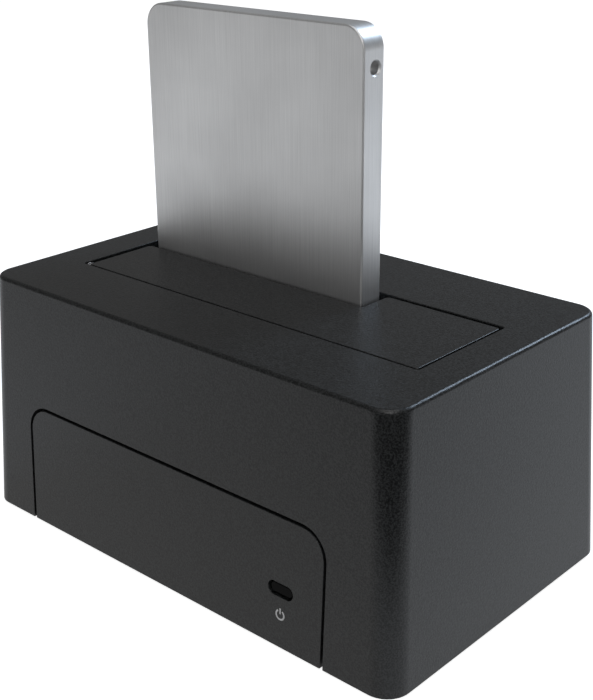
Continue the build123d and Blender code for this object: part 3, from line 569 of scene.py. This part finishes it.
half_floor = 3.0
bm = bmesh.new()
bmesh.ops.create_grid(bm, x_segments=1, y_segments=1, size=half_floor)
floor = new_object("studio_floor", bm)
paper, tree, shader = finish("white_paper_floor")
shader.inputs["Base Color"].default_value = (0.8, 0.8, 0.8, 1)
shader.inputs["Roughness"].default_value = 0.9
shader.inputs["Specular IOR Level"].default_value = 0.1
shader.inputs["Emission Color"].default_value = (1, 1, 1, 1)
floor_light = background_light(tree, 0.49)
place = tree.nodes.new("ShaderNodeTexCoord")
distance = tree.nodes.new("ShaderNodeVectorMath")
distance.operation = "LENGTH"
wire(tree, place, "Object", distance, 0)
# Painted shade: the floor's glow is a tenth dimmer within about 12 cm of the part and full again
# from half a metre out, so a soft dark ring stays round its foot.
painted_shade_fade = remap(tree, distance, "Value", (0.12, 0.5), (0.9, 1.0))
strength = arithmetic(tree, "MULTIPLY")
wire(tree, painted_shade_fade, "Result", strength, 0)
wire(tree, floor_light, 0, strength, 1)
wire(tree, strength, 0, shader, "Emission Strength")
put_on(floor, paper)

world = bpy.data.worlds.new("studio_surround")
bpy.context.scene.world = world
world.use_nodes = True
tree = world.node_tree
back = tree.nodes["Background"]
back.inputs["Color"].default_value = (1, 1, 1, 1)
surround_light = background_light(tree, 0.2)
level = arithmetic(tree, "ADD", 0.02)
wire(tree, surround_light, 0, level, 0)
wire(tree, level, 0, back, "Strength")

# Lamps: three soft boxes that point at the part. The bluish one behind it makes the bright
# line on the right edge of its top.

lit_point = Vector((0, 0, 0.05))


def soft_lamp(name, place, width, height, power, colour=(1, 1, 1)):
    """A large rectangular soft lamp that points at the part."""
    light = bpy.data.lights.new(name, "AREA")
    light.shape = "RECTANGLE"
    light.size = width
    light.size_y = height
    light.energy = power
    light.color = colour
    lamp = bpy.data.objects.new(name, light)
    lamp.location = place
    lamp.rotation_euler = (lit_point - Vector(place)).to_track_quat("-Z", "Y").to_euler()
    bpy.context.scene.collection.objects.link(lamp)


soft_lamp("edge_strip", (0.12, 0.68, 0.57), width=0.3, height=0.22, power=3.1,
          colour=(0.66, 0.81, 1.0))
soft_lamp("overhead_box", (0.15, -0.1, 1.1), width=0.7, height=0.7, power=2.5)
soft_lamp("camera_side_box", (0.5, -0.56, 0.65), width=0.5, height=0.4, power=2.2)

# Dark card: it lies on the floor between the part and the camera, where only shiny faces show
# it, and darkens what the near corner mirrors.

card_turn, card_near, card_far, card_half, card_lift = radians(50), 0.135, 0.45, 0.42, 0.0004
bm = bmesh.new()
sheet = bmesh.ops.create_grid(bm, x_segments=1, y_segments=1, size=0.5)["verts"]
bmesh.ops.scale(bm, verts=sheet, vec=(2 * card_half, card_far - card_near, 1))
bmesh.ops.translate(bm, verts=sheet, vec=(0, -(card_near + card_far) / 2, card_lift))
bmesh.ops.rotate(bm, verts=sheet, cent=(0, 0, 0), matrix=Matrix.Rotation(card_turn, 3, "Z"))
card = new_object("dark_card", bm)
card.visible_camera = False
card.visible_shadow = False
card.visible_diffuse = False
flock, tree, shader = finish("black_flock")
shader.inputs["Base Color"].default_value = (0.01, 0.01, 0.01, 1)
shader.inputs["Roughness"].default_value = 1.0
shader.inputs["Specular IOR Level"].default_value = 0.0
put_on(card, flock)

# Camera: at the photograph's angle and distance, with no shift.

turn, lift, roll = radians(42.203), radians(22.149), radians(-0.438)
camera_place = (0.19525, -0.21040, 0.16540)
backward = Vector((sin(turn) * cos(lift), -cos(turn) * cos(lift), sin(lift)))
right = Vector((cos(turn), sin(turn), 0))
upward = backward.cross(right)
rolled_right = cos(roll) * right + sin(roll) * upward
rolled_up = -sin(roll) * right + cos(roll) * upward
axes = Matrix((rolled_right, rolled_up, backward)).transposed()
camera = bpy.data.cameras.new("photo_camera")
camera.lens = 65.052
camera.sensor_width = 36.0
camera.clip_start = 0.01
camera_object = bpy.data.objects.new("photo_camera", camera)
camera_object.matrix_world = Matrix.Translation(camera_place) @ axes.to_4x4()
bpy.context.scene.collection.objects.link(camera_object)
bpy.context.scene.camera = camera_object
bpy.context.scene.view_settings.view_transform = "Standard"
